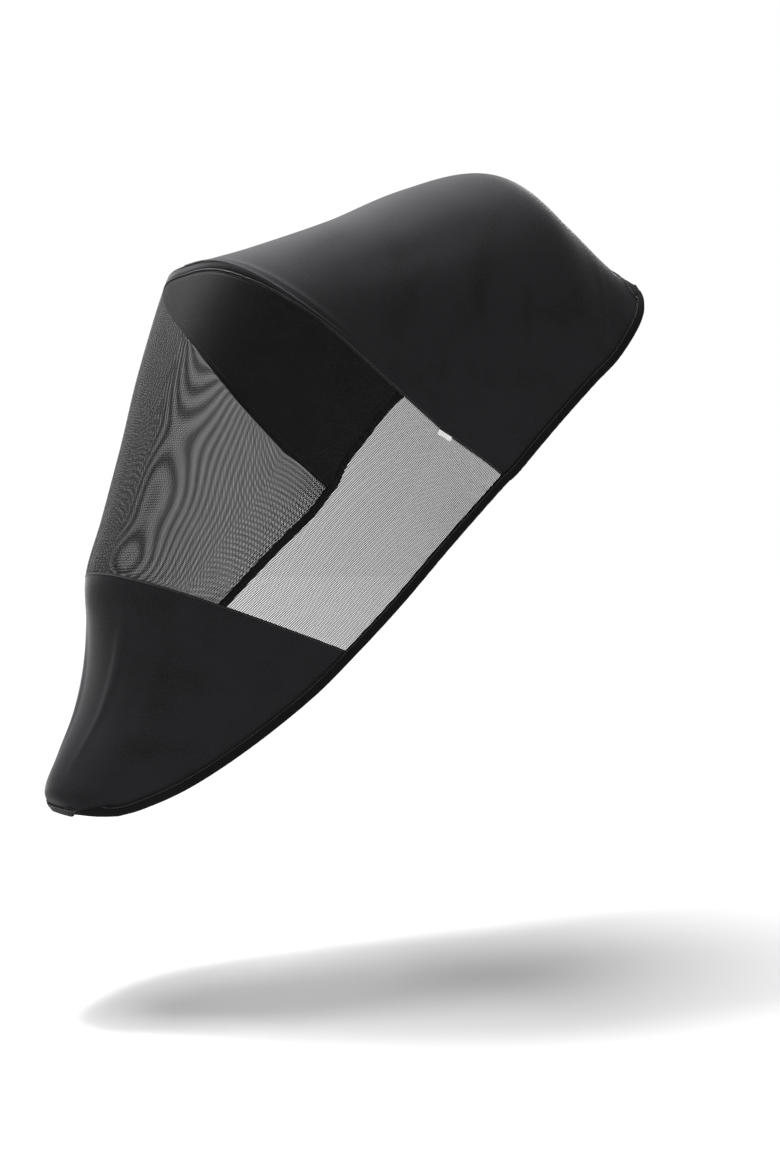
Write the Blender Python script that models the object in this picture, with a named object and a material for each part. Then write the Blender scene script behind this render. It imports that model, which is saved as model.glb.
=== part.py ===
# Insect net cover for a pushchair, hanging over the hood it is fitted to.
# Metres, +Z up, the toe towards -Y, the origin under the cloth at the top of the crown.

from collections import namedtuple

import bpy
import bmesh
import numpy as np

MM = 0.001

# Cloth and tape
CLOTH_THICK = 1.2 * MM
NET_THICK = 1.0 * MM
GAP = 0.3 * MM
TAPE_THICK = 1.0 * MM
TAPE_ROUND = 0.5 * MM
TAPE_EASE = 0.8 * MM

# The band of cloth along the hem that the tape covers, and how far over it the tape reaches
EDGE_BAND = 12 * MM
EDGE_BAND_MOST = 0.28
EDGE_COVER = 0.9
REAR_BAND_STEP = 0.27
TOE_BAND_STEP = 0.6

# The sewn-over ends of the tape, near the rear corner on the +X side
LAP_STATION = 2
LAP_HEIGHT = 3.5 * MM

# Blank label tab, sewn into the front seam on the +X side
LABEL_LENGTH = 20 * MM
LABEL_DROP = 6 * MM
LABEL_THICK = 1.0 * MM
LABEL_PLACE = 0.80

# Mesh fineness
COLUMNS = 16
CURVE_STEPS = 60

# Ribs of the cover from the rear hem over the crown to the toe, in millimetres.
# The spine is where a rib crosses the middle and the hem is where it ends at the side.
# The shoulder is the half width at which it turns down, and square says how squarely.
# Steps is how many rows of faces lead to the next rib.
Rib = namedtuple("Rib", "name spine_y spine_z hem_x hem_y hem_z shoulder square steps")
RIBS = (
    Rib("rear hem", 139, -119, 229, 140, -179, 205, 2.29, 3),
    Rib("back", 118, -76, 230, 126, -213, 201, 2.36, 3),
    Rib("nape", 75, -30, 227, 94, -256, 203, 2.44, 3),
    Rib("crown", 10, 3, 226, 55, -290, 205, 2.58, 3),
    Rib("brow", -81, -24, 219, 11, -334, 199, 2.57, 3),
    Rib("slope", -189, -76, 214, -26, -372, 190, 2.57, 3),
    Rib("fore", -315, -128, 203, -49, -402, 180, 2.62, 3),
    Rib("front fold", -390, -156, 200, -60, -413, 174, 2.80, 2),
    Rib("front seam", -402, -169, 198, -66, -418, 171, 3.05, 3),
    Rib("upper net", -440, -280, 193, -98, -450, 175, 2.77, 3),
    Rib("middle net", -467, -371, 196, -157, -502, 170, 2.52, 3),
    Rib("lower net", -495, -458, 198, -225, -565, 163, 2.33, 3),
    Rib("boot seam", -519, -527, 193, -286, -621, 153, 2.18, 3),
    Rib("instep", -516, -583, 184, -341, -670, 145, 2.16, 3),
    Rib("ankle", -519, -635, 160, -410, -725, 125, 2.15, 3),
    Rib("shin", -533, -686, 125, -469, -769, 98, 2.12, 3),
    Rib("toe", -557, -733, 84, -516, -796, 70, 2.08, 3),
    Rib("tip", -576, -776, 62, -541, -802, 53, 2.05, 2),
    Rib("sole", -563, -803, 44, -556, -804, 40, 2.00, 0),
)
RIB_NUMBER = {rib.name: number for number, rib in enumerate(RIBS)}

# The front seam wavers along the cloth: share of the way round, shift in ribs
SEAM_WAVER = ((0.0, 0.04), (0.2, 0.02), (0.4, -0.07), (0.6, 0.05), (0.8, 0.12), (1.0, -0.2))


# Clear the scene

for old in list(bpy.data.objects):
    bpy.data.objects.remove(old, do_unlink=True)


# The cover's surface

RIB_SIZES = np.array([(rib.spine_y, rib.spine_z, rib.hem_x, rib.hem_y, rib.hem_z,
                       rib.shoulder, rib.square / MM) for rib in RIBS]) * MM


# A smooth curve through the table's rows, read at any place between two ribs
def rib_sizes_at(place):
    last = len(RIB_SIZES) - 1
    place = min(max(place, 0.0), last - 1e-9)
    start = int(place)
    u = place - start
    p1, p2 = RIB_SIZES[start], RIB_SIZES[start + 1]
    p0 = RIB_SIZES[start - 1] if start > 0 else 2 * p1 - p2
    p3 = RIB_SIZES[start + 2] if start + 2 <= last else 2 * p2 - p1
    bend = 2 * p0 - 5 * p1 + 4 * p2 - p3
    twist = -p0 + 3 * p1 - 3 * p2 + p3
    return 0.5 * (2 * p1 + (p2 - p0) * u + bend * u ** 2 + twist * u ** 3)


# One half of a rib, from the spine round the shoulder to the hem
def rib_curve(place):
    spine_y, spine_z, hem_x, hem_y, hem_z, shoulder, square = rib_sizes_at(place)
    turn = np.linspace(0, np.pi / 2, CURVE_STEPS + 1)
    out = np.abs(np.sin(turn)) ** (2 / square)
    down = 1 - np.abs(np.cos(turn)) ** (2 / square)
    x = shoulder * out + (hem_x - shoulder) * down ** 2
    y = spine_y + (hem_y - spine_y) * down
    z = spine_z + (hem_z - spine_z) * down
    return np.stack([x, y, z], axis=1)


# The point a share of the way along a half rib, mirrored where the share is negative
def point_at(place, share):
    curve = rib_curve(place)
    run = np.concatenate([[0], np.cumsum(np.linalg.norm(np.diff(curve, axis=0), axis=1))])
    point = np.array([np.interp(abs(share) * run[-1], run, curve[:, axis]) for axis in range(3)])
    point[0] = point[0] if share >= 0 else -point[0]
    return point


def seam_waver(place, share):
    shares, shifts = zip(*SEAM_WAVER)
    nearness = max(0.0, 1 - abs(place - RIB_NUMBER["front seam"]))
    return place + nearness * np.interp(abs(share), shares, shifts)


# All rows of the cover, as places along the ribs, and the row at which each rib lies
def row_places():
    places = []
    row_of_rib = {}
    for number, rib in enumerate(RIBS):
        row_of_rib[rib.name] = len(places)
        places += [number + step / rib.steps for step in range(rib.steps)] or [number]
    places[1] = REAR_BAND_STEP
    places[-2] = len(RIBS) - 2 + TOE_BAND_STEP
    return places, row_of_rib


# Shares of the way round at which the columns lie, the last but one along the edge band
def column_shares(place):
    curve = rib_curve(place)
    length = np.linalg.norm(np.diff(curve, axis=0), axis=1).sum()
    hem = rib_curve(place + 0.05)[-1] - rib_curve(place - 0.05)[-1]
    end = curve[-1] - curve[-4]
    slant = np.linalg.norm(np.cross(hem, end)) / np.linalg.norm(hem) / np.linalg.norm(end)
    band = min(EDGE_BAND / slant / length, EDGE_BAND_MOST)
    half = [(1 - band) * column / (COLUMNS - 1) for column in range(COLUMNS)] + [1]
    return [-share for share in reversed(half[1:])] + half


def cover_points(places):
    points = np.array([[point_at(seam_waver(place, share), share)
                        for share in column_shares(place)] for place in places])
    # The hem turns its corners in a round
    for row, next_row in ((0, 1), (-1, -2)):
        for side, inner in ((0, 1), (-1, -2)):
            neighbours = points[next_row, side] + points[row, inner]
            points[row, side] = 0.5 * points[row, side] + 0.25 * neighbours
    return points


# Outward normals, from the faces round each point
def cover_normals(points):
    across = points[1:, 1:] - points[:-1, :-1]
    along = points[1:, :-1] - points[:-1, 1:]
    face = np.cross(along, across)
    normals = np.zeros_like(points)
    for rows in (slice(None, -1), slice(1, None)):
        for columns in (slice(None, -1), slice(1, None)):
            normals[rows, columns] += face
    return normals / np.linalg.norm(normals, axis=2, keepdims=True)


PLACES, ROW_OF_RIB = row_places()
POINTS = cover_points(PLACES)
NORMALS = cover_normals(POINTS)


# Materials and objects

def plain_material(name, colour, roughness):
    material = bpy.data.materials.new(name)
    material.use_nodes = True
    shader = material.node_tree.nodes["Principled BSDF"]
    shader.inputs["Base Color"].default_value = (*colour, 1)
    shader.inputs["Roughness"].default_value = roughness
    shader.inputs["Metallic"].default_value = 0
    return material


def add_object(name, bm, material):
    bmesh.ops.recalc_face_normals(bm, faces=bm.faces)
    mesh = bpy.data.meshes.new(name)
    bm.to_mesh(mesh)
    bm.free()
    mesh.materials.append(material)
    mesh.shade_smooth()
    built = bpy.data.objects.new(name, mesh)
    bpy.context.collection.objects.link(built)
    return built


# A sheet between two skins. Both are arrays of points, row by row.
def add_sheet(name, outer, inner, material):
    rows, columns = outer.shape[0] - 1, outer.shape[1] - 1
    bm = bmesh.new()
    bmesh.ops.create_grid(bm, x_segments=columns, y_segments=rows, size=1)
    second = bmesh.ops.extrude_face_region(bm, geom=bm.faces[:])["geom"]
    lower = {item for item in second if isinstance(item, bmesh.types.BMVert)}
    for vert in bm.verts:
        row = round((vert.co.y + 1) / 2 * rows)
        column = round((vert.co.x + 1) / 2 * columns)
        vert.co = (inner if vert in lower else outer)[row, column]
    bmesh.ops.triangulate(bm, faces=bm.faces, quad_method="SHORT_EDGE")
    return add_object(name, bm, material)


# Panels

def moved_towards(points, goal, distance):
    step = goal - points
    return points + distance * step / np.linalg.norm(step, axis=-1, keepdims=True)


# The rows between two ribs, set back by half a gap where the panel meets the next one
def add_panel(name, first_rib, last_rib, thick, material):
    first, last = ROW_OF_RIB[first_rib], ROW_OF_RIB[last_rib]
    outer = POINTS[first:last + 1].copy()
    normals = NORMALS[first:last + 1]
    if first > 0:
        outer[0] = moved_towards(outer[0], outer[1], GAP / 2)
    if last < len(POINTS) - 1:
        outer[-1] = moved_towards(outer[-1], outer[-2], GAP / 2)
    return add_sheet(name, outer, outer - thick * normals, material)


# Edge tape, folded over the cloth's edge all the way round

# The grid points round the edge: down the +X side, across the toe, up and across the rear
def edge_stations():
    last_row, last_column = POINTS.shape[0] - 1, POINTS.shape[1] - 1
    side = [(row, last_column) for row in range(last_row + 1)]
    toe = [(last_row, column) for column in range(last_column - 1, 0, -1)]
    far_side = [(row, 0) for row in range(last_row, 0, -1)]
    rear = [(0, column) for column in range(last_column)]
    return side + toe + far_side + rear


# Points round the tape's section at one place on the edge. The legs lie along both skins,
# from the edge towards the neighbouring grid point inside it.
def tape_section(edge, inside, outward, lap):
    fold = TAPE_EASE + TAPE_THICK
    under = CLOTH_THICK + fold
    lapped = GAP + TAPE_THICK + lap
    point, normal = [first + EDGE_COVER * (second - first) for first, second in zip(edge, inside)]
    normal /= np.linalg.norm(normal)

    def leg(height):
        return point + height * normal

    def beyond(distance, height):
        return edge[0] + outward * distance + edge[1] * height

    return [leg(fold),
            beyond(lapped - TAPE_ROUND, fold), beyond(lapped, fold - TAPE_ROUND),
            beyond(lapped, TAPE_ROUND - under), beyond(lapped - TAPE_ROUND, -under),
            leg(-under), leg(TAPE_THICK - under),
            beyond(GAP, TAPE_THICK - under), beyond(GAP, TAPE_EASE), leg(TAPE_EASE)]


def add_tape(name, material):
    stations = edge_stations()
    edges = np.array([POINTS[station] for station in stations])
    tangents = np.roll(edges, -1, axis=0) - np.roll(edges, 1, axis=0)
    lap_at = len(stations) - LAP_STATION
    sections = []
    for number, station in enumerate(stations):
        inner = tuple(np.clip(station, 1, np.array(POINTS.shape[:2]) - 2))
        outward = np.cross(NORMALS[station], tangents[number])
        outward *= np.sign(outward @ (edges[number] - POINTS[inner])) / np.linalg.norm(outward)
        lap = LAP_HEIGHT if number == lap_at else 0
        sections.append(tape_section((edges[number], NORMALS[station]),
                                     (POINTS[inner], NORMALS[inner]), outward, lap))
    sections = np.array(sections)
    rings, around = sections.shape[:2]
    bm = bmesh.new()
    bmesh.ops.create_grid(bm, x_segments=around, y_segments=rings, size=1)
    for vert in bm.verts:
        ring = round((vert.co.y + 1) / 2 * rings) % rings
        place = round((vert.co.x + 1) / 2 * around) % around
        vert.co = sections[ring, place]
    bmesh.ops.remove_doubles(bm, verts=bm.verts, dist=0.001 * MM)
    bmesh.ops.triangulate(bm, faces=bm.faces, quad_method="SHORT_EDGE")
    return add_object(name, bm, material)


# Label tab, lying on the net under the front seam

def add_label(name, material):
    seam = RIB_NUMBER["front seam"]
    share_step = 0.02
    top = point_at(seam_waver(seam, LABEL_PLACE), LABEL_PLACE)
    along = point_at(seam_waver(seam, LABEL_PLACE + share_step), LABEL_PLACE + share_step) - top
    along /= np.linalg.norm(along)
    below = point_at(seam_waver(seam + 0.2, LABEL_PLACE), LABEL_PLACE) - top
    normal = np.cross(along, below)
    normal /= np.linalg.norm(normal)
    normal *= np.sign(normal[0])
    down = np.cross(normal, along)
    down *= np.sign(down @ below)
    corner = top + down * GAP
    skins = []
    for height in (2 * GAP + LABEL_THICK, 2 * GAP):
        rows = [corner + down * LABEL_DROP * drop + normal * height for drop in (0, 1)]
        skins.append(np.array([[row - along * LABEL_LENGTH / 2, row + along * LABEL_LENGTH / 2]
                               for row in rows]))
    return add_sheet(name, skins[0], skins[1], material)


# Build the pieces

black_knit = plain_material("black knit", (0.012, 0.012, 0.013), 0.85)
grey_net = plain_material("insect net", (0.05, 0.05, 0.052), 0.7)
black_tape = plain_material("elastic tape", (0.008, 0.008, 0.008), 0.8)
white_tab = plain_material("white label", (0.8, 0.8, 0.8), 0.7)

add_panel("top_panel", "rear hem", "front seam", CLOTH_THICK, black_knit)
add_panel("net_panel", "front seam", "boot seam", NET_THICK, grey_net)
add_panel("boot_panel", "boot seam", "sole", CLOTH_THICK, black_knit)
add_tape("edge_tape", black_tape)
add_label("label_tab", white_tab)
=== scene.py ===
import math

import bmesh
import bpy
import numpy as np
from mathutils import Matrix, Vector


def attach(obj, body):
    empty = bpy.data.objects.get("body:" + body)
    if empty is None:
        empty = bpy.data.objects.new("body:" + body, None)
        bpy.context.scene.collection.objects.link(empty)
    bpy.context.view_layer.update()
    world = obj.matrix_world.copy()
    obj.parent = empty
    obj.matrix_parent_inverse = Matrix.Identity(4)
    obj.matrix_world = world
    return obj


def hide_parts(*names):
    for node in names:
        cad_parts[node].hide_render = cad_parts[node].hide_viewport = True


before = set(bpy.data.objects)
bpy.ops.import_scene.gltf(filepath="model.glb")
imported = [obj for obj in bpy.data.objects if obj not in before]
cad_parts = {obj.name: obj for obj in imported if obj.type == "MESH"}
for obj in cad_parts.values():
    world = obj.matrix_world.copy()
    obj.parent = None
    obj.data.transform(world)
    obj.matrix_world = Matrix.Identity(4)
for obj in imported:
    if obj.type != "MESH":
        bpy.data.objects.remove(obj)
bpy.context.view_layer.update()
mm = 0.001

print("frame loaded, with nodes", ", ".join(sorted(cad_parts)))


# The cover's surface

cover = {
    # Ribs from the rear hem over the crown to the toe, in mm:
    # spine y and z, hem x, y and z, half width at the shoulder, how squarely it turns
    "ribs": (
        (139, -119, 229, 140, -179, 205, 2.29),   # rear hem
        (118, -76, 230, 126, -213, 201, 2.36),    # back
        (75, -30, 227, 94, -256, 203, 2.44),      # nape
        (10, 3, 226, 55, -290, 205, 2.58),        # crown
        (-81, -24, 219, 11, -334, 199, 2.57),     # brow
        (-189, -76, 214, -26, -372, 190, 2.57),   # slope
        (-315, -128, 203, -49, -402, 180, 2.62),  # fore
        (-390, -156, 200, -60, -413, 174, 2.80),  # front fold
        (-402, -169, 198, -66, -418, 171, 3.05),  # front seam
        (-440, -280, 193, -98, -450, 175, 2.77),  # upper net
        (-467, -371, 196, -157, -502, 170, 2.52),  # middle net
        (-495, -458, 198, -225, -565, 163, 2.33),  # lower net
        (-519, -527, 193, -286, -621, 153, 2.18),  # boot seam
        (-516, -583, 184, -341, -670, 145, 2.16),  # instep
        (-519, -635, 160, -410, -725, 125, 2.15),  # ankle
        (-533, -686, 125, -469, -769, 98, 2.12),  # shin
        (-557, -733, 84, -516, -796, 70, 2.08),   # toe
        (-576, -776, 62, -541, -802, 53, 2.05),   # tip
        (-563, -803, 44, -556, -804, 40, 2.00),   # sole
    ),
    "frontSeam": 8,
    "bootSeam": 12,
    # The front seam wavers: share of the way round, shift in ribs
    "seamWaver": (
        (0.0, 0.04), (0.2, 0.02), (0.4, -0.07), (0.6, 0.05), (0.8, 0.12), (1.0, -0.2),
    ),
    "curveSteps": 200,         # fineness at which a rib is drawn
    "pointsAtOnce": 4000,      # worked out together, to spare memory
    "slopeSteps": (0.02, 0.004),   # in ribs and in share, for reading slopes
    "readings": 400,           # along the hem and the spine
    "endReadings": 101,        # across the rear and the toe
    "nearHem": 0.999,          # share at which the hem's slopes are read
    "nearEnd": 0.05,           # ribs in from an end at which its slopes are read
    "nearSeam": 0.03,          # ribs off a seam at which its slopes are read
    "cornerRound": 13.0,       # mm
    "rowSpacing": 4.0,         # mm
    "columnSpacing": 4.4,      # mm
}

ribTable = np.array(cover["ribs"], float)
ribTable[:, :6] *= mm
lastPlace = len(ribTable) - 1
waverShares, waverShifts = zip(*cover["seamWaver"])


def ribSizes(places):
    # A smooth curve through the ribs, read at any place between two of them
    places = np.clip(places, 0, lastPlace - 1e-9)
    start = places.astype(int)
    u = (places - start)[:, None]
    before, after = 2 * ribTable[0] - ribTable[1], 2 * ribTable[-1] - ribTable[-2]
    table = np.vstack([before, ribTable, after])
    p0, p1, p2, p3 = (table[start + step] for step in range(4))
    bend, twist = 2 * p0 - 5 * p1 + 4 * p2 - p3, -p0 + 3 * p1 - 3 * p2 + p3
    return 0.5 * (2 * p1 + (p2 - p0) * u + bend * u ** 2 + twist * u ** 3)


def coverPoints(places, shares):
    # Points at a place along the ribs and a share of the way from the spine to the hem
    shape = np.shape(places)
    places, shares = np.ravel(places), np.ravel(shares)
    nearness = np.clip(1 - abs(places - cover["frontSeam"]), 0, None)
    places = places + nearness * np.interp(abs(shares), waverShares, waverShifts)
    turn = np.linspace(0, np.pi / 2, cover["curveSteps"] + 1)
    points, lengths = np.zeros((len(places), 3)), np.zeros(len(places))
    for first in range(0, len(places), cover["pointsAtOnce"]):
        part = slice(first, first + cover["pointsAtOnce"])
        spineY, spineZ, hemX, hemY, hemZ, shoulder, square = ribSizes(places[part]).T[:, :, None]
        out = abs(np.sin(turn)) ** (2 / square)
        down = 1 - abs(np.cos(turn)) ** (2 / square)
        curve = np.stack([shoulder * out + (hemX - shoulder) * down ** 2,
                          spineY + (hemY - spineY) * down,
                          spineZ + (hemZ - spineZ) * down], axis=2)
        steps = np.linalg.norm(np.diff(curve, axis=1), axis=2)
        run = np.concatenate([np.zeros((len(steps), 1)), np.cumsum(steps, axis=1)], axis=1)
        target = abs(shares[part]) * run[:, -1]
        at = np.clip((run < target[:, None]).sum(1) - 1, 0, len(turn) - 2)
        each = np.arange(len(at))
        along = ((target - run[each, at]) / (run[each, at + 1] - run[each, at]))[:, None]
        points[part] = curve[each, at] * (1 - along) + curve[each, at + 1] * along
        lengths[part] = run[:, -1]
    points[:, 0] *= np.where(shares < 0, -1, 1)
    return points.reshape(shape + (3,)), lengths.reshape(shape)


def slopes(places, shares):
    # How the surface runs with place and with share, and its outward normal
    placeStep, shareStep = cover["slopeSteps"]
    ahead, behind = places + placeStep, places - placeStep
    alongPlace = coverPoints(ahead, shares)[0] - coverPoints(behind, shares)[0]
    span = np.clip(ahead, 0, lastPlace) - np.clip(behind, 0, lastPlace)
    alongPlace /= span[..., None]
    further, nearer = shares + shareStep, shares - shareStep
    alongShare = coverPoints(places, further)[0] - coverPoints(places, nearer)[0]
    alongShare /= 2 * shareStep
    normal = np.cross(alongShare, alongPlace)
    area = np.linalg.norm(normal, axis=-1, keepdims=True)
    return alongPlace, alongShare, -normal / area, area[..., 0]


# Shares and places that make a metre square to the hem, along the sides and across the ends
readPlaces = np.linspace(0, lastPlace, cover["readings"])
hemRun, _, _, hemArea = slopes(readPlaces, np.full(cover["readings"], cover["nearHem"]))
sharePerMetre = np.linalg.norm(hemRun, axis=1) / hemArea
endShares = np.linspace(-1, 1, cover["endReadings"]) * cover["nearHem"]
placePerMetre = {}
for end, inside in ((0, cover["nearEnd"]), (lastPlace, lastPlace - cover["nearEnd"])):
    _, endRun, _, endArea = slopes(np.full(cover["endReadings"], inside), endShares)
    placePerMetre[end] = np.linalg.norm(endRun, axis=1) / endArea
spinePoints = coverPoints(readPlaces, 0 * readPlaces)[0]
spineRun = np.linalg.norm(np.diff(spinePoints, axis=0), axis=1)
spineRun = np.concatenate([[0], np.cumsum(spineRun)])
cornerRound = cover["cornerRound"] * mm


def inFromSide(places):
    return np.interp(places, readPlaces, sharePerMetre)


def inFromEnd(end, shares):
    return np.interp(shares, endShares, placePerMetre[end])


def roundCorners(places, shares):
    # Draws the grid's four corners in, so that the hem turns them in a round
    for end, sign in ((0, 1), (lastPlace, -1)):
        side = np.sign(shares)
        fromSide = (1 - abs(shares)) / inFromSide(places)
        fromEnd = sign * (places - end) / inFromEnd(end, side)
        near = (fromSide < cornerRound) & (fromEnd < cornerRound)
        x, y = 1 - fromSide / cornerRound, 1 - fromEnd / cornerRound
        xDrawn = x * np.sqrt(1 - np.clip(y, 0, 1) ** 2 / 2)
        yDrawn = y * np.sqrt(1 - np.clip(x, 0, 1) ** 2 / 2)
        newPlaces = end + sign * (1 - yDrawn) * cornerRound * inFromEnd(end, side)
        newShares = side * (1 - (1 - xDrawn) * cornerRound * inFromSide(places))
        places = np.where(near, newPlaces, places)
        shares = np.where(near, newShares, shares)
    return places, shares


# Soft folds, laid on the surface along its normals

folds = {
    # from place, share to place, share; width and height in mm; below 0 it is a trough
    "creases": (
        (7.0, -0.75, 7.0, 0.75, 7.0, 1.6),      # roll above the front seam
        (7.62, -0.7, 7.62, 0.7, 4.0, -0.9),     # drawn in above the front seam
        (12.3, 0.17, 16.6, 0.24, 7.0, 2.2),     # soft ridge down the boot's front corner
        (12.3, -0.19, 16.4, -0.22, 7.0, 1.8),
        (12.9, 0.50, 15.2, 0.62, 16.0, 1.4),    # slack across the boot's side
        (13.3, 0.36, 15.4, 0.42, 14.0, -1.1),
        (12.7, 0.70, 14.2, 0.84, 12.0, -0.9),
        (13.0, -0.55, 15.0, -0.60, 16.0, 1.2),
        (12.8, -0.34, 15.0, -0.45, 14.0, -1.0),
        (1.6, 0.60, 2.4, 0.93, 5.0, 0.8),       # faint crease down the top's side
        (1.5, -0.62, 2.6, -0.90, 6.0, 0.8),
        (3.4, 0.42, 6.2, 0.30, 30.0, -1.6),     # tension from the crown to the front corner
        (3.2, -0.44, 6.0, -0.32, 30.0, -1.6),
        (8.4, 0.10, 11.6, 0.16, 26.0, 1.2),     # slack in the net above the boot
        (8.4, -0.14, 11.7, -0.10, 24.0, 1.0),
    ),
    "wander": (2.0, 31.0, 47.0),   # mm, how far a crease strays, and its waves each way
    "fade": (1.15, 1.9),       # how a crease dies out towards its ends
    "pucker": 0.45,            # mm, where the elastic draws the cloth in
    "puckerWave": 10.5,        # mm
    "puckerReach": 26.0,       # mm
    "ribSpacing": 36,          # mm, between two ribs along the hem
    "drift": ((1.7, 2.9), (1.1, 6.1)),     # how the puckers' spacing varies: by, waves
    "strength": (0.6, 0.4, 4.3, 1.3),      # how their height varies: mean, by, waves, start
}


def lift(places, shares, lengths):
    # How far the folds and puckers stand off the surface, in metres
    across = shares * lengths / mm
    along = np.interp(places, readPlaces, spineRun) / mm
    stray, strayAlong, strayAcross = folds["wander"]
    full, fall = folds["fade"]
    height = np.zeros(np.shape(places))
    for p1, s1, p2, s2, width, rise in folds["creases"]:
        ends = np.array([p1, p2])
        endLengths = coverPoints(ends, np.zeros(2))[1] / mm
        ax, bx = np.array([s1, s2]) * endLengths
        ay, by = np.interp(ends, readPlaces, spineRun) / mm
        dx, dy = bx - ax, by - ay
        reach = ((across - ax) * dx + (along - ay) * dy) / (dx * dx + dy * dy)
        off = np.hypot(across - ax - reach * dx, along - ay - reach * dy)
        off += stray * np.sin(along / strayAlong + across / strayAcross + p1)
        fade = np.clip(full - abs(reach - 0.5) * fall, 0, 1)
        fade = fade * fade * (3 - 2 * fade)
        height += rise * fade * np.exp(-(off / width) ** 2)
    fromHem = (1 - abs(shares)) * lengths / mm
    side = np.sign(shares)
    (slow, slowWaves), (quick, quickWaves) = folds["drift"]
    mean, swing, swingWaves, swingStart = folds["strength"]
    phase = 2 * np.pi * places * folds["ribSpacing"] / folds["puckerWave"]
    phase = phase + slow * np.sin(places * slowWaves + side) + quick * np.sin(places * quickWaves)
    strength = mean + swing * np.sin(places * swingWaves + swingStart * side)
    reach = np.exp(-(fromHem / folds["puckerReach"]) ** 2)
    height += folds["pucker"] * strength * np.sin(phase) * reach
    return height * mm


def gridNormals(points):
    face = np.cross(points[1:, :-1] - points[:-1, 1:], points[1:, 1:] - points[:-1, :-1])
    normals = np.zeros_like(points)
    for rows in (slice(None, -1), slice(1, None)):
        for columns in (slice(None, -1), slice(1, None)):
            normals[rows, columns] += face
    return normals / np.linalg.norm(normals, axis=2, keepdims=True)


# Materials

def linear(hexColour):
    values = [int(hexColour[i:i + 2], 16) / 255 for i in (1, 3, 5)]
    return (*(v / 12.92 if v <= 0.04045 else ((v + 0.055) / 1.055) ** 2.4 for v in values), 1)


def newMaterial(name, colour, roughness, **sockets):
    material = bpy.data.materials.new(name)
    material.use_nodes = True
    shader = material.node_tree.nodes["Principled BSDF"]
    shader.inputs["Base Color"].default_value = linear(colour)
    shader.inputs["Roughness"].default_value = roughness
    for socket, value in sockets.items():
        shader.inputs[socket.replace("_", " ")].default_value = value
    return material, shader


def addNode(material, kind, links=(), settings=(), **inputs):
    # One node with its settings, its input values and what is linked into it
    node = material.node_tree.nodes.new(kind)
    for key, value in dict(settings).items():
        setattr(node, key, value)
    for key, value in inputs.items():
        key = int(key[1:]) if key[0] == "_" else key.replace("_", " ")
        node.inputs[key].default_value = value
    for key, source in dict(links).items():
        material.node_tree.links.new(source, node.inputs[key])
    return node


def wave(material, source, pitch, turn=0.0):
    # Cosine stripes of a pitch in metres across the direction turn, in degrees
    angle, scale = math.radians(turn), 2 * math.pi / pitch
    direction = (math.cos(angle) * scale, math.sin(angle) * scale, 0)
    dot = addNode(material, "ShaderNodeVectorMath", {0: source},
                  {"operation": "DOT_PRODUCT"}, _1=direction)
    cosine = addNode(material, "ShaderNodeMath", {0: dot.outputs["Value"]},
                     {"operation": "COSINE"})
    return cosine.outputs[0]


def link(material, source, target):
    material.node_tree.links.new(source, target)


knit = {
    "dark": "#171718", "light": "#232325", "roughness": 0.92,
    "sheen": 0.34, "sheenRoughness": 0.30, "sheenTint": "#e6e6e8", "specular": 0.08,
    "wale": 2.6,       # mm; the real wales are 0.4 mm apart, too fine to show
    "course": 2.2,     # mm; the real courses are 0.35 mm apart
    "grain": 2.4,      # mm, the speckle of the brushed face
    "patches": 14.0,   # a metre, slow changes of tone
    "toneRange": (0.62, 1.0), "bump": 0.5, "bumpHeight": 0.25,     # height in mm
}


def makeKnit():
    # Polyester warp knit, brushed: matt black, with a grey bloom where it is seen along the pile
    material, shader = newMaterial("black warp knit", knit["dark"], knit["roughness"],
                                   Sheen_Weight=knit["sheen"],
                                   Sheen_Roughness=knit["sheenRoughness"],
                                   Specular_IOR_Level=knit["specular"])
    shader.inputs["Sheen Tint"].default_value = linear(knit["sheenTint"])
    place = addNode(material, "ShaderNodeUVMap", settings={"uv_map": "cloth"}).outputs[0]
    wales = wave(material, place, knit["wale"] * mm)
    courses = wave(material, place, knit["course"] * mm, 90)
    loops = addNode(material, "ShaderNodeMath", {0: wales, 1: courses}, {"operation": "MULTIPLY"})
    grain = addNode(material, "ShaderNodeTexNoise", {"Vector": place},
                    Scale=1 / (knit["grain"] * mm), Detail=2.0, Roughness=0.6)
    patch = addNode(material, "ShaderNodeTexNoise", {"Vector": place},
                    Scale=knit["patches"], Detail=3.0)
    speckle = grain.outputs["Fac"]
    mixed = addNode(material, "ShaderNodeMath", {0: speckle, 1: patch.outputs["Fac"]},
                    {"operation": "ADD"})
    tone = addNode(material, "ShaderNodeValToRGB", {"Fac": mixed.outputs[0]})
    stops = zip(tone.color_ramp.elements, knit["toneRange"], (knit["dark"], knit["light"]))
    for stop, position, colour in stops:
        stop.position, stop.color = position, linear(colour)
    link(material, tone.outputs["Color"], shader.inputs["Base Color"])
    height = addNode(material, "ShaderNodeMath", {0: loops.outputs[0], 1: speckle, 2: speckle},
                     {"operation": "MULTIPLY_ADD"})
    bump = addNode(material, "ShaderNodeBump", {"Height": height.outputs[0]},
                   Strength=knit["bump"], Distance=knit["bumpHeight"] * mm)
    link(material, bump.outputs["Normal"], shader.inputs["Normal"])
    return material


net = {
    "colour": "#121213", "roughness": 0.7,
    "pitch": 2.0,      # mm; the real holes are 0.9 mm apart, too fine to show
    "edge": -0.35, "soft": 0.5,    # where thread turns to hole, and how softly
}


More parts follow.
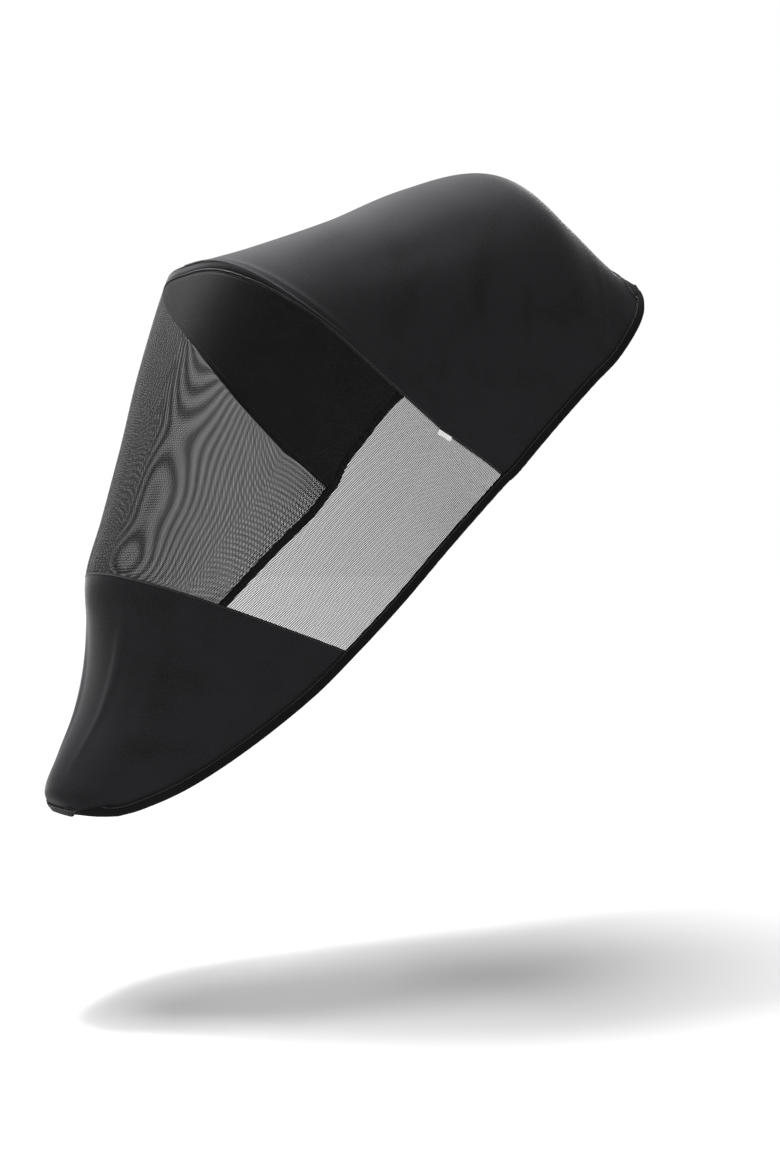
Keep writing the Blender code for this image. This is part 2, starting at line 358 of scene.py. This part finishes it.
def makeNet():
    # Polyester tulle: hexagonal holes in thin black thread, see-through, denser seen at a slant
    material, shader = newMaterial("black hexagonal tulle", net["colour"], net["roughness"],
                                   Specular_IOR_Level=0.1, Sheen_Weight=0.05, Sheen_Roughness=0.5)
    place = addNode(material, "ShaderNodeUVMap", settings={"uv_map": "cloth"}).outputs[0]
    pitch = net["pitch"] * mm * math.sqrt(3) / 2
    total = wave(material, place, pitch, 90)
    for turn in (30, 150):
        more = wave(material, place, pitch, turn)
        total = addNode(material, "ShaderNodeMath", {0: total, 1: more},
                        {"operation": "ADD"}).outputs[0]
    thread = addNode(material, "ShaderNodeMapRange", {"Value": total},
                     {"interpolation_type": "SMOOTHSTEP"},
                     From_Min=net["edge"] - net["soft"], From_Max=net["edge"] + net["soft"],
                     To_Min=1.0, To_Max=0.0)
    link(material, thread.outputs["Result"], shader.inputs["Alpha"])
    return material


tape = {
    "colour": "#0d0d0e", "roughness": 0.8,
    "rib": 2.2, "line": 3.0,   # mm; the real ones are 0.8 mm apart, too fine to show
    # All in mm: how far it reaches over the cloth, its own thickness, its room round the
    # cloth and how far it stands out past the edge
    "reach": 11.2, "thick": 1.1, "ease": 0.6, "beyond": 1.3,
    "lapHeight": 3.0, "lapWidth": 4.0, "lapThick": 0.5,    # where its two ends are joined
    "lapFromSide": 1.35,       # where that is, in corner rounds in from the side
    "swell": 0.14, "swellWaves": (1.55, 23.0),     # how the elastic swells and shrinks
    "cornerSteps": 8, "rearSteps": 120, "toeSteps": 22,
}


def makeTape():
    # Nylon fold-over elastic: dense, slightly blacker than the knit, fine ribs across it
    material, shader = newMaterial("black fold-over elastic", tape["colour"], tape["roughness"],
                                   Specular_IOR_Level=0.1, Sheen_Weight=0.08, Sheen_Roughness=0.4)
    place = addNode(material, "ShaderNodeUVMap", settings={"uv_map": "cloth"}).outputs[0]
    ribs = wave(material, place, tape["rib"] * mm)
    lines = wave(material, place, tape["line"] * mm, 90)
    height = addNode(material, "ShaderNodeMath", {0: lines, 2: ribs},
                     {"operation": "MULTIPLY_ADD"}, _1=0.5)
    bump = addNode(material, "ShaderNodeBump", {"Height": height.outputs[0]},
                   Strength=0.4, Distance=0.2 * mm)
    link(material, bump.outputs["Normal"], shader.inputs["Normal"])
    return material


def makeThread():
    # Polyester sewing thread: black, a little glossier than the cloth
    material, shader = newMaterial("black sewing thread", "#1a1a1b", 0.5, Sheen_Weight=0.3)
    place = addNode(material, "ShaderNodeTexCoord").outputs["Object"]
    twist = addNode(material, "ShaderNodeTexNoise", {"Vector": place}, Scale=900.0, Detail=1.0)
    bump = addNode(material, "ShaderNodeBump", {"Height": twist.outputs["Fac"]},
                   Strength=0.4, Distance=0.1 * mm)
    link(material, bump.outputs["Normal"], shader.inputs["Normal"])
    return material


label = {
    "colour": "#f0f0ee",
    "place": 0.80,     # share of the way from the spine to the hem, along the front seam
    "length": 20.0, "drop": 6.0, "thick": 0.3, "apart": 0.35,     # mm
    "curl": 0.35, "ripple": 0.1,     # mm
    "waves": (5, 9, 4),        # of the curl along the tab, and of the ripple along and down
    "readSteps": (0.2, 0.02),  # in ribs and in share, for reading how the seam runs
    "mapStep": 0.5,            # mm on the cloth map for each row
    "rib": 0.8,        # mm; the real ribs are 0.3 mm apart, too fine to show
    "above": 1.0,      # mm, how far it lies over the cloth
    "rows": 8, "foldRows": 9, "columns": 24,
}


def makeLabelCloth():
    # Woven polyester satin ribbon: clean white, fine ribs along the tab
    material, shader = newMaterial("white woven ribbon", label["colour"], 0.55, Sheen_Weight=0.2)
    place = addNode(material, "ShaderNodeUVMap", settings={"uv_map": "cloth"}).outputs[0]
    ribs = wave(material, place, label["rib"] * mm, 90)
    grain = addNode(material, "ShaderNodeTexNoise", {"Vector": place}, Scale=700.0, Detail=2.0)
    height = addNode(material, "ShaderNodeMath", {0: ribs, 2: grain.outputs["Fac"]},
                     {"operation": "MULTIPLY_ADD"}, _1=0.4)
    bump = addNode(material, "ShaderNodeBump", {"Height": height.outputs[0]},
                   Strength=0.35, Distance=0.1 * mm)
    link(material, bump.outputs["Normal"], shader.inputs["Normal"])
    return material


blackKnit, tulle, elastic = makeKnit(), makeNet(), makeTape()
sewingThread, ribbon = makeThread(), makeLabelCloth()
print("materials made")


# Making pieces

def finishPiece(name, bm, material, nodes=()):
    mesh = bpy.data.meshes.new(name)
    bm.to_mesh(mesh)
    bm.free()
    mesh.materials.append(material)
    mesh.shade_smooth()
    piece = bpy.data.objects.new(name, mesh)
    bpy.context.collection.objects.link(piece)
    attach(piece, "root")
    if nodes:
        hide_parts(*nodes)
    return piece


def gridPiece(points, uvs):
    # A grid of faces laid on rows of points, with its cloth map in metres
    rows, columns = points.shape[0] - 1, points.shape[1] - 1
    bm = bmesh.new()
    bmesh.ops.create_grid(bm, x_segments=columns, y_segments=rows, size=1)
    layer = bm.loops.layers.uv.new("cloth")
    at = {}
    for vert in bm.verts:
        at[vert] = round((vert.co.y + 1) / 2 * rows), round((vert.co.x + 1) / 2 * columns)
        vert.co = points[at[vert]]
    for face in bm.faces:
        for loop in face.loops:
            loop[layer].uv = uvs[at[loop.vert]]
    return bm


def faceOutward(bm, centre):
    # A panel is open, so its faces are turned by where they look
    bm.normal_update()
    outward = sum(face.normal.dot(face.calc_center_median() - centre) for face in bm.faces)
    if outward < 0:
        bmesh.ops.reverse_faces(bm, faces=bm.faces)


panels = {
    # From rib to rib; under is how far it goes on beneath its neighbours, in mm, as thick is
    "topPanel": {"node": "top_panel", "slot": "black_knit", "from": 0,
                 "to": cover["frontSeam"], "under": 0, "thick": 1.1},
    "netPanel": {"node": "net_panel", "slot": "insect_net", "from": cover["frontSeam"],
                 "to": cover["bootSeam"], "under": 5.0, "thick": 0.5},
    "bootPanel": {"node": "boot_panel", "slot": "black_knit", "from": cover["bootSeam"],
                  "to": lastPlace, "under": 0, "thick": 1.1},
    "sunkUnder": -1.15, "sunkAtSeam": -0.9,     # mm, where the net lies beneath the knit
    "middle": (0, -0.15, -0.45),                # a point inside the cover, in metres
}


def rowPlaces(first, last):
    places = []
    for rib in range(first, last):
        ends = coverPoints(np.array([rib, rib + 1, rib, rib + 1.0]), np.array([0, 0, 1, 1.0]))[0]
        far = max(np.linalg.norm(ends[1] - ends[0]), np.linalg.norm(ends[3] - ends[2]))
        steps = max(2, math.ceil(far / (cover["rowSpacing"] * mm)))
        places += [rib + step / steps for step in range(steps)]
    return np.array(places + [last], float)


def layPanel(name, cut, material):
    rows = rowPlaces(cut["from"], cut["to"])
    half = coverPoints(rows, 0 * rows)[1].max()
    columns = 2 * math.ceil(half / (cover["columnSpacing"] * mm))
    places, shares = np.meshgrid(rows, np.linspace(-1, 1, columns + 1), indexing="ij")
    places, shares = roundCorners(places, shares)
    sunk = np.zeros(places.shape)
    # An edge that goes under its neighbour starts further back and lies lower
    for seam, sign in ((cut["from"], -1), (cut["to"], 1)) if cut["under"] else ():
        edgeRow = 0 if sign < 0 else -1
        nearby = places[edgeRow] + sign * cover["nearSeam"]
        _, run, _, area = slopes(nearby, shares[edgeRow])
        back = cut["under"] * mm * np.linalg.norm(run, axis=-1) / area
        extra = seam + sign * back * np.array([[1.0], [0.5]])[::-sign]
        low = np.full(extra.shape, panels["sunkUnder"] * mm)
        sunk[edgeRow] = panels["sunkAtSeam"] * mm
        places = np.vstack([extra, places][::-sign])
        sunk = np.vstack([low, sunk][::-sign])
        shares = np.vstack([[shares[edgeRow]] * 2, shares][::-sign])
    points, lengths = coverPoints(places, shares)
    normals = gridNormals(points)
    points = points + normals * (lift(places, shares, lengths) + sunk)[..., None]
    along = np.concatenate([np.zeros((1, points.shape[1])),
                            np.cumsum(np.linalg.norm(np.diff(points, axis=0), axis=2), axis=0)])
    uvs = np.stack([shares * lengths + 1, along], axis=2)
    bm = gridPiece(points, uvs)
    faceOutward(bm, Vector(panels["middle"]))
    piece = finishPiece(name, bm, material, [cut["node"]])
    wall = piece.modifiers.new("cloth thickness", "SOLIDIFY")
    wall.thickness, wall.offset = cut["thick"] * mm, -1
    wall.use_even_offset = False
    print("laid", name, points.shape)
    return piece


top = layPanel("topPanel", panels["topPanel"], blackKnit)
window = layPanel("netPanel", panels["netPanel"], tulle)
boot = layPanel("bootPanel", panels["bootPanel"], blackKnit)


# The elastic tape round the hem

# Place and share at a depth in metres inside the hem, for each of its runs
def hemSide(sign, depth):
    low = cornerRound * inFromEnd(0, sign)
    high = lastPlace - cornerRound * inFromEnd(lastPlace, sign)
    clear = cover["slopeSteps"][0]
    rows = rowPlaces(0, lastPlace)
    rows = rows[(rows > low + clear) & (rows < high - clear)]
    rows = np.concatenate([[low], rows, [high]])
    return rows, sign * (1 - depth * inFromSide(rows))


def hemCorner(end, sign, depth, order):
    turn = np.linspace(0, np.pi / 2, tape["cornerSteps"] + 1)[1:-1][::order]
    fromSide = cornerRound - (cornerRound - depth) * np.cos(turn)
    fromEnd = cornerRound - (cornerRound - depth) * np.sin(turn)
    inwards = 1 if end == 0 else -1
    rows = end + inwards * fromEnd * inFromEnd(end, sign)
    return rows, sign * (1 - fromSide * inFromSide(rows))


def hemEnd(end, depth, order):
    high = 1 - cornerRound * inFromSide(float(end))
    steps = tape["rearSteps"] if end == 0 else tape["toeSteps"]
    columns = np.linspace(high, -high, steps + 1)[::order]
    inwards = 1 if end == 0 else -1
    return end + inwards * depth * inFromEnd(end, columns), columns


def hemLoop(depth):
    # Down the +X side, across the toe, up the other side and across the rear
    runs = [hemSide(1, depth), hemCorner(lastPlace, 1, depth, 1), hemEnd(lastPlace, depth, 1),
            hemCorner(lastPlace, -1, depth, -1), [part[::-1] for part in hemSide(-1, depth)],
            hemCorner(0, -1, depth, 1), hemEnd(0, depth, -1), hemCorner(0, 1, depth, -1)]
    return [np.concatenate([run[which] for run in runs]) for which in (0, 1)]


def tapeSection():
    # Depth inside the edge and height over the cloth, in mm: from the inside of the upper
    # leg over it, round the edge, along the lower leg and back inside
    reach, ease, beyond = tape["reach"], tape["ease"], tape["beyond"]
    skin = panels["topPanel"]["thick"]
    high, low = ease + tape["thick"], -skin - ease - tape["thick"]
    return [(reach - 0.3, ease + 0.05), (reach, ease + 0.5), (reach - 0.4, high - 0.1),
            (reach * 0.75, high), (reach * 0.5, high + 0.06), (reach * 0.25, high),
            (0.6, high - 0.05), (-0.7, high - 0.5), (-beyond, 0.2), (-beyond, -skin - 0.2),
            (-0.7, low + 0.5), (0.6, low + 0.05), (reach * 0.25, low),
            (reach * 0.5, low - 0.06), (reach * 0.75, low), (reach - 0.4, low + 0.1),
            (reach, -skin - ease - 0.5), (reach - 0.3, -skin - ease - 0.05),
            (reach * 0.6, -skin - ease), (1.0, -skin - ease), (-0.2, -skin), (-0.2, 0.0),
            (1.0, ease), (reach * 0.6, ease)]


def layTape():
    skin = panels["topPanel"]["thick"]
    edgePlaces, edgeShares = hemLoop(0.0)
    edge = coverPoints(edgePlaces, edgeShares)[0]
    run = np.linalg.norm(np.roll(edge, -1, axis=0) - edge, axis=1)
    run = np.concatenate([[0], np.cumsum(run)])
    # The joined ends lie just past the rear corner on the +X side
    lapShare = 1 - tape["lapFromSide"] * cornerRound * inFromSide(0.0)
    lapAt = int(np.argmin(abs(edgePlaces) + abs(edgeShares - lapShare)))
    gap = abs(run[:-1] - run[lapAt])
    lap = np.exp(-(gap / (tape["lapWidth"] * mm)) ** 2)
    fineWave, slowWave = tape["swellWaves"]
    rings = []
    for depth, height in tapeSection():
        inside = max(depth, 0.0) * mm
        places, shares = hemLoop(inside)
        points, lengths = coverPoints(places, shares)
        normal = slopes(places, shares)[2]
        outward = points - coverPoints(*hemLoop(inside + 1.0 * mm))[0]
        outward /= np.linalg.norm(outward, axis=1, keepdims=True)
        swell = tape["swell"] * np.sin(run[:-1] / mm / fineWave)
        swell = swell * np.sin(run[:-1] / mm / slowWave + height)
        face = np.sign(height + skin / 2)
        raised = (height + face * swell) * mm + lift(places, shares, lengths)
        raised += face * tape["lapThick"] * mm * lap
        points = points + normal * raised[:, None]
        if depth < 0:
            points = points + outward * (-depth + lap * tape["lapHeight"])[:, None] * mm
        rings.append(points)
    points = np.stack(rings, axis=1)
    points = np.concatenate([points, points[:1]])
    points = np.concatenate([points, points[:, :1]], axis=1)
    girth = np.cumsum(np.linalg.norm(np.diff(points, axis=1), axis=2), axis=1)
    girth = np.concatenate([np.zeros((len(points), 1)), girth], axis=1)
    uvs = np.stack([np.repeat(run[:, None], points.shape[1], axis=1), girth], axis=2)
    bm = gridPiece(points, uvs)
    bmesh.ops.remove_doubles(bm, verts=bm.verts, dist=0.001 * mm)
    bmesh.ops.recalc_face_normals(bm, faces=bm.faces)
    piece = finishPiece("edgeTape", bm, elastic, ["edge_tape"])
    print("laid edgeTape", points.shape, "length", round(run[-1], 3))
    return piece, run[-1]


edgeTape, tapeLength = layTape()


# Stitches

stitches = {
    "long": 2.4, "gap": 1.0, "wide": 0.55, "high": 0.35,     # mm
    "seamReadings": 700, "seamEnd": 0.985,   # along a seam; the tape covers the rest
    "fromEdge": 2.0, "raised": 0.1, "tapeRaised": 0.05,      # mm
    "endInset": 0.22, "drawnIn": 0.72,       # shares of its size
}


def stitchTemplate():
    # A small block with drawn-in ends
    bm = bmesh.new()
    bmesh.ops.create_cube(bm, size=1)
    ends = [face for face in bm.faces if abs(face.normal.x) > 0.5]
    bmesh.ops.inset_region(bm, faces=ends, thickness=stitches["endInset"], depth=0.0)
    for vert in bm.verts:
        if abs(vert.co.y) > 0.5 - stitches["endInset"] / 2:
            vert.co.x *= stitches["drawnIn"]
    bmesh.ops.scale(bm, verts=bm.verts,
                    vec=(stitches["long"] * mm, stitches["wide"] * mm, stitches["high"] * mm))
    mesh = bpy.data.meshes.new("stitch")
    bm.to_mesh(mesh)
    bm.free()
    return mesh


def sewLines(name, lines):
    # Runs of stitches along lines of (points, normals)
    template = stitchTemplate()
    bm = bmesh.new()
    pace = (stitches["long"] + stitches["gap"]) * mm
    count = 0
    for points, normals in lines:
        run = np.concatenate([[0], np.cumsum(np.linalg.norm(np.diff(points, axis=0), axis=1))])
        for start in np.arange(0.5 * pace, run[-1] - pace, pace):
            spots = [np.array([np.interp(start + step, run, points[:, axis]) for axis in range(3)])
                     for step in (0, stitches["long"] * mm)]
            up = np.array([np.interp(start, run, normals[:, axis]) for axis in range(3)])
            ahead = Vector(spots[1] - spots[0]).normalized()
            sideways = Vector(up).cross(ahead).normalized()
            upright = ahead.cross(sideways)
            turn = Matrix((ahead, sideways, upright)).transposed().to_4x4()
            one = template.copy()
            one.transform(Matrix.Translation((spots[0] + spots[1]) / 2) @ turn)
            bm.from_mesh(one)
            bpy.data.meshes.remove(one)
            count += 1
    bpy.data.meshes.remove(template)
    piece = finishPiece(name, bm, sewingThread)
    print("sewed", name, count)
    return piece


def raisedLine(places, shares, raised):
    points, lengths = coverPoints(places, shares)
    normal = slopes(places, shares)[2]
    height = lift(places, shares, lengths) + raised * mm
    return points + normal * height[:, None], normal


def seamLine(seam, sign):
    # On the knit beside a seam, from hem to hem
    shares = np.linspace(-stitches["seamEnd"], stitches["seamEnd"], stitches["seamReadings"])
    nearby = np.full(len(shares), seam + sign * cover["nearSeam"])
    _, run, _, area = slopes(nearby, shares)
    back = stitches["fromEdge"] * mm * np.linalg.norm(run, axis=-1) / area
    return raisedLine(seam + sign * back, shares, stitches["raised"])


def tapeLine():
    # Round the upper leg of the tape, back to where it starts
    places, shares = hemLoop((tape["reach"] - stitches["fromEdge"]) * mm)
    points, normal = raisedLine(places, shares,
                                tape["ease"] + tape["thick"] + stitches["tapeRaised"])
    return np.vstack([points, points[:1]]), np.vstack([normal, normal[:1]])


seamStitches = sewLines("seamStitches", [seamLine(cover["frontSeam"], -1),
                                         seamLine(cover["bootSeam"], 1)])
tapeStitches = sewLines("tapeStitches", [tapeLine()])


# The label tab

def layLabel():
    # A strip folded in two, its ends in the seam and its fold below
    share, (ribStep, shareStep) = label["place"], label["readSteps"]
    curlWave, rippleAlong, rippleDown = label["waves"]
    seam = np.array([cover["frontSeam"]] * 2, float)
    pair = coverPoints(seam, np.array([share, share + shareStep]))[0]
    lower = coverPoints(seam[:1] + ribStep, np.array([share]))[0][0]
    along = Vector(pair[1] - pair[0]).normalized()
    below = Vector(lower - pair[0])
    normal = along.cross(below).normalized()
    normal = normal if normal.x > 0 else -normal
    down = normal.cross(along)
    down = down if down.dot(below) > 0 else -down
    corner = Vector(pair[0]) + normal * label["above"] * mm
    half = label["apart"] / 2
    straight = label["drop"] - half
    shareDown = np.linspace(0, 1, label["rows"])[:-1]
    turn = np.linspace(0, np.pi, label["foldRows"])
    strip = [(y * straight, 2 * half) for y in shareDown]
    strip += [(straight + half * math.sin(t), half + half * math.cos(t)) for t in turn]
    strip += [(y * straight, 0.0) for y in np.linspace(1, 0, label["rows"])[1:]]
    columns = label["columns"]
    points = np.zeros((len(strip), columns + 1, 3))
    uvs = np.zeros((len(strip), columns + 1, 2))
    for row, (drop, height) in enumerate(strip):
        for column in range(columns + 1):
            x, y = column / columns - 0.5, drop / label["drop"]
            curl = label["curl"] * y * y * math.cos(curlWave * x)
            ripple = label["ripple"] * math.sin(rippleAlong * x + rippleDown * y)
            point = corner + along * x * label["length"] * mm + down * drop * mm
            points[row, column] = point + normal * (curl + ripple + height) * mm
            uvs[row, column] = (x + 0.5) * label["length"] * mm, row * label["mapStep"] * mm
    bm = gridPiece(points, uvs)
    bm.normal_update()
    outermost = max(bm.faces, key=lambda face: face.calc_center_median().dot(normal))
    if outermost.normal.dot(normal) < 0:
        bmesh.ops.reverse_faces(bm, faces=bm.faces)
    piece = finishPiece("labelTab", bm, ribbon, ["label_tab"])
    wall = piece.modifiers.new("ribbon thickness", "SOLIDIFY")
    wall.thickness, wall.offset = label["thick"] * mm, 1
    print("laid labelTab", points.shape)
    return piece


labelTab = layLabel()


# Floor, light and camera

studio = {
    "floorZ": -1.033, "floorHalf": 60.0, "floorColour": "#f4f4f4",     # metres
    "backdrop": 1.0, "roomLight": 0.36,
    "sunStrength": 2.8, "sunAngle": 40, "sunFrom": (-0.25, -0.12, 1.0),
    "cameraPlace": (1.667, -1.2847, -0.520), "lens": 47.80, "sensor": 36,
    "cameraTurn": (89.297, 0, 54.61),     # degrees
    # name, place, aim, size, power, spread in degrees
    "lamps": (
        ("softbox above", (-0.36, -0.50, 0.72), (0.02, -0.22, -0.08), 0.5, 17, 110),
    ),
}


def makeFloor():
    bm = bmesh.new()
    bmesh.ops.create_grid(bm, x_segments=1, y_segments=1, size=studio["floorHalf"])
    bmesh.ops.translate(bm, verts=bm.verts, vec=(0, 0, studio["floorZ"]))
    mesh = bpy.data.meshes.new("floor")
    bm.to_mesh(mesh)
    bm.free()
    material, _ = newMaterial("white paper floor", studio["floorColour"], 0.9)
    mesh.materials.append(material)
    floor = bpy.data.objects.new("floor", mesh)
    bpy.context.collection.objects.link(floor)


def makeRoom():
    # The backdrop shows white, and the room gives the cloth only a dim light
    world = bpy.data.worlds.new("white room")
    world.use_nodes = True
    background = world.node_tree.nodes["Background"]
    background.inputs["Color"].default_value = (1, 1, 1, 1)
    seen = addNode(world, "ShaderNodeLightPath").outputs["Is Camera Ray"]
    strength = addNode(world, "ShaderNodeMapRange", {"Value": seen},
                       To_Min=studio["roomLight"], To_Max=studio["backdrop"])
    link(world, strength.outputs["Result"], background.inputs["Strength"])
    bpy.context.scene.world = world


def makeLights():
    sun = bpy.data.lights.new("overhead light", "SUN")
    sun.energy, sun.angle = studio["sunStrength"], math.radians(studio["sunAngle"])
    sky = bpy.data.objects.new("overhead light", sun)
    sky.rotation_euler = Vector(studio["sunFrom"]).to_track_quat("Z", "Y").to_euler()
    bpy.context.collection.objects.link(sky)
    for name, place, aim, size, power, spread in studio["lamps"]:
        light = bpy.data.lights.new(name, "AREA")
        light.shape, light.size, light.energy = "DISK", size, power
        light.spread = math.radians(spread)
        lamp = bpy.data.objects.new(name, light)
        lamp.location = place
        lamp.rotation_euler = (Vector(aim) - Vector(place)).to_track_quat("-Z", "Y").to_euler()
        bpy.context.collection.objects.link(lamp)


def makeCamera():
    camera = bpy.data.cameras.new("camera")
    camera.sensor_width, camera.lens = studio["sensor"], studio["lens"]
    eye = bpy.data.objects.new("camera", camera)
    eye.location = studio["cameraPlace"]
    eye.rotation_euler = [math.radians(angle) for angle in studio["cameraTurn"]]
    bpy.context.collection.objects.link(eye)
    bpy.context.scene.camera = eye


makeFloor()
makeRoom()
makeLights()
makeCamera()
bpy.context.scene.view_settings.view_transform = "Standard"
print("stage, light and camera set")
